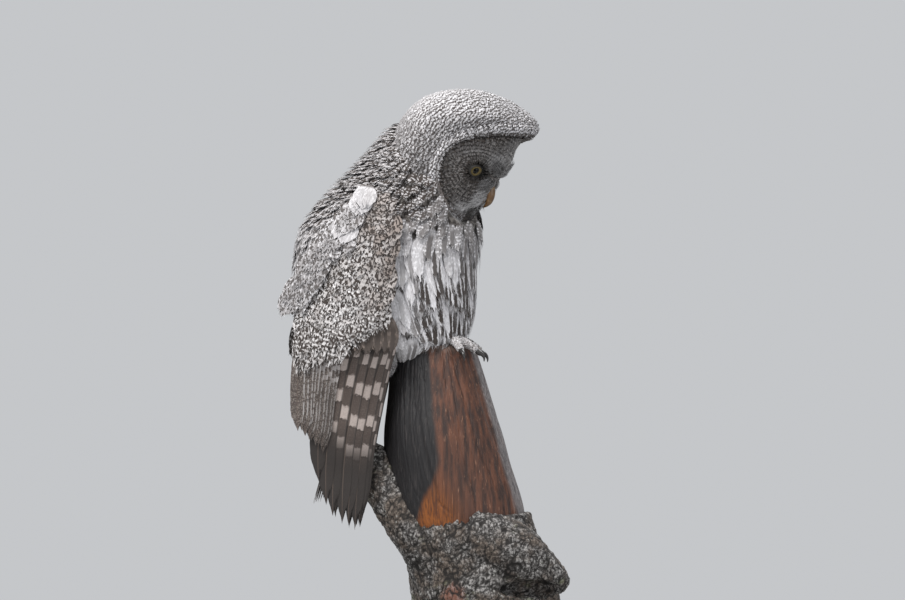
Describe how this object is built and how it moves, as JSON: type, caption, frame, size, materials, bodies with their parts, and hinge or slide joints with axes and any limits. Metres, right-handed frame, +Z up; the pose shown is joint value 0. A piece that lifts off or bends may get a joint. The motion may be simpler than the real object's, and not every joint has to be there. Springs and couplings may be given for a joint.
{
  "type": "great grey owl",
  "caption": "Life-size still model of a great grey owl leaning forward on a broken branch stub and looking down to its right, on a display stand.",
  "frame": {"origin": "middle of the base's underside", "axes": "+Z up, +X towards the owl's beak side, -Y towards the owl's right side"},
  "size_m": [0.4079, 0.25, 0.7522],
  "materials": {
    "plumage_body": "soft mottled grey and white plumage",
    "plumage_wing": "barred brown flight feathers",
    "plumage_face": "grey-brown ringed facial discs",
    "foot_feathers": "short pale feathers",
    "eye": "wet gloss, yellow iris",
    "bill": "satin horn",
    "claw": "black horn",
    "wood": "weathered bare wood",
    "bark": "rough grey bark",
    "stand": "satin black paint"
  },
  "bodies": {
    "root": {"head": "plumage_body", "neck": "plumage_body", "torso": "plumage_body", "tail": "plumage_wing", "bill_upper": "bill", "bill_lower": "bill", "perch_stub": "wood", "perch_branch": "bark", "stand_base": "stand", "stand_rod_front": "stand", "stand_rod_back": "stand", "face_disc_right": "plumage_face", "eye_right": "eye", "wing_right_arm": "plumage_wing", "wing_right_secondaries": "plumage_wing", "wing_right_primaries": "plumage_wing", "wing_right_scapulars": "plumage_body", "leg_right": "foot_feathers", "foot_right": "foot_feathers", "claw_right_1": "claw", "claw_right_2": "claw", "claw_right_3": "claw", "claw_right_4": "claw", "face_disc_left": "plumage_face", "eye_left": "eye", "wing_left_arm": "plumage_wing", "wing_left_secondaries": "plumage_wing", "wing_left_primaries": "plumage_wing", "wing_left_scapulars": "plumage_body", "leg_left": "foot_feathers", "foot_left": "foot_feathers", "claw_left_1": "claw", "claw_left_2": "claw", "claw_left_3": "claw", "claw_left_4": "claw"}
  },
  "joints": []
}
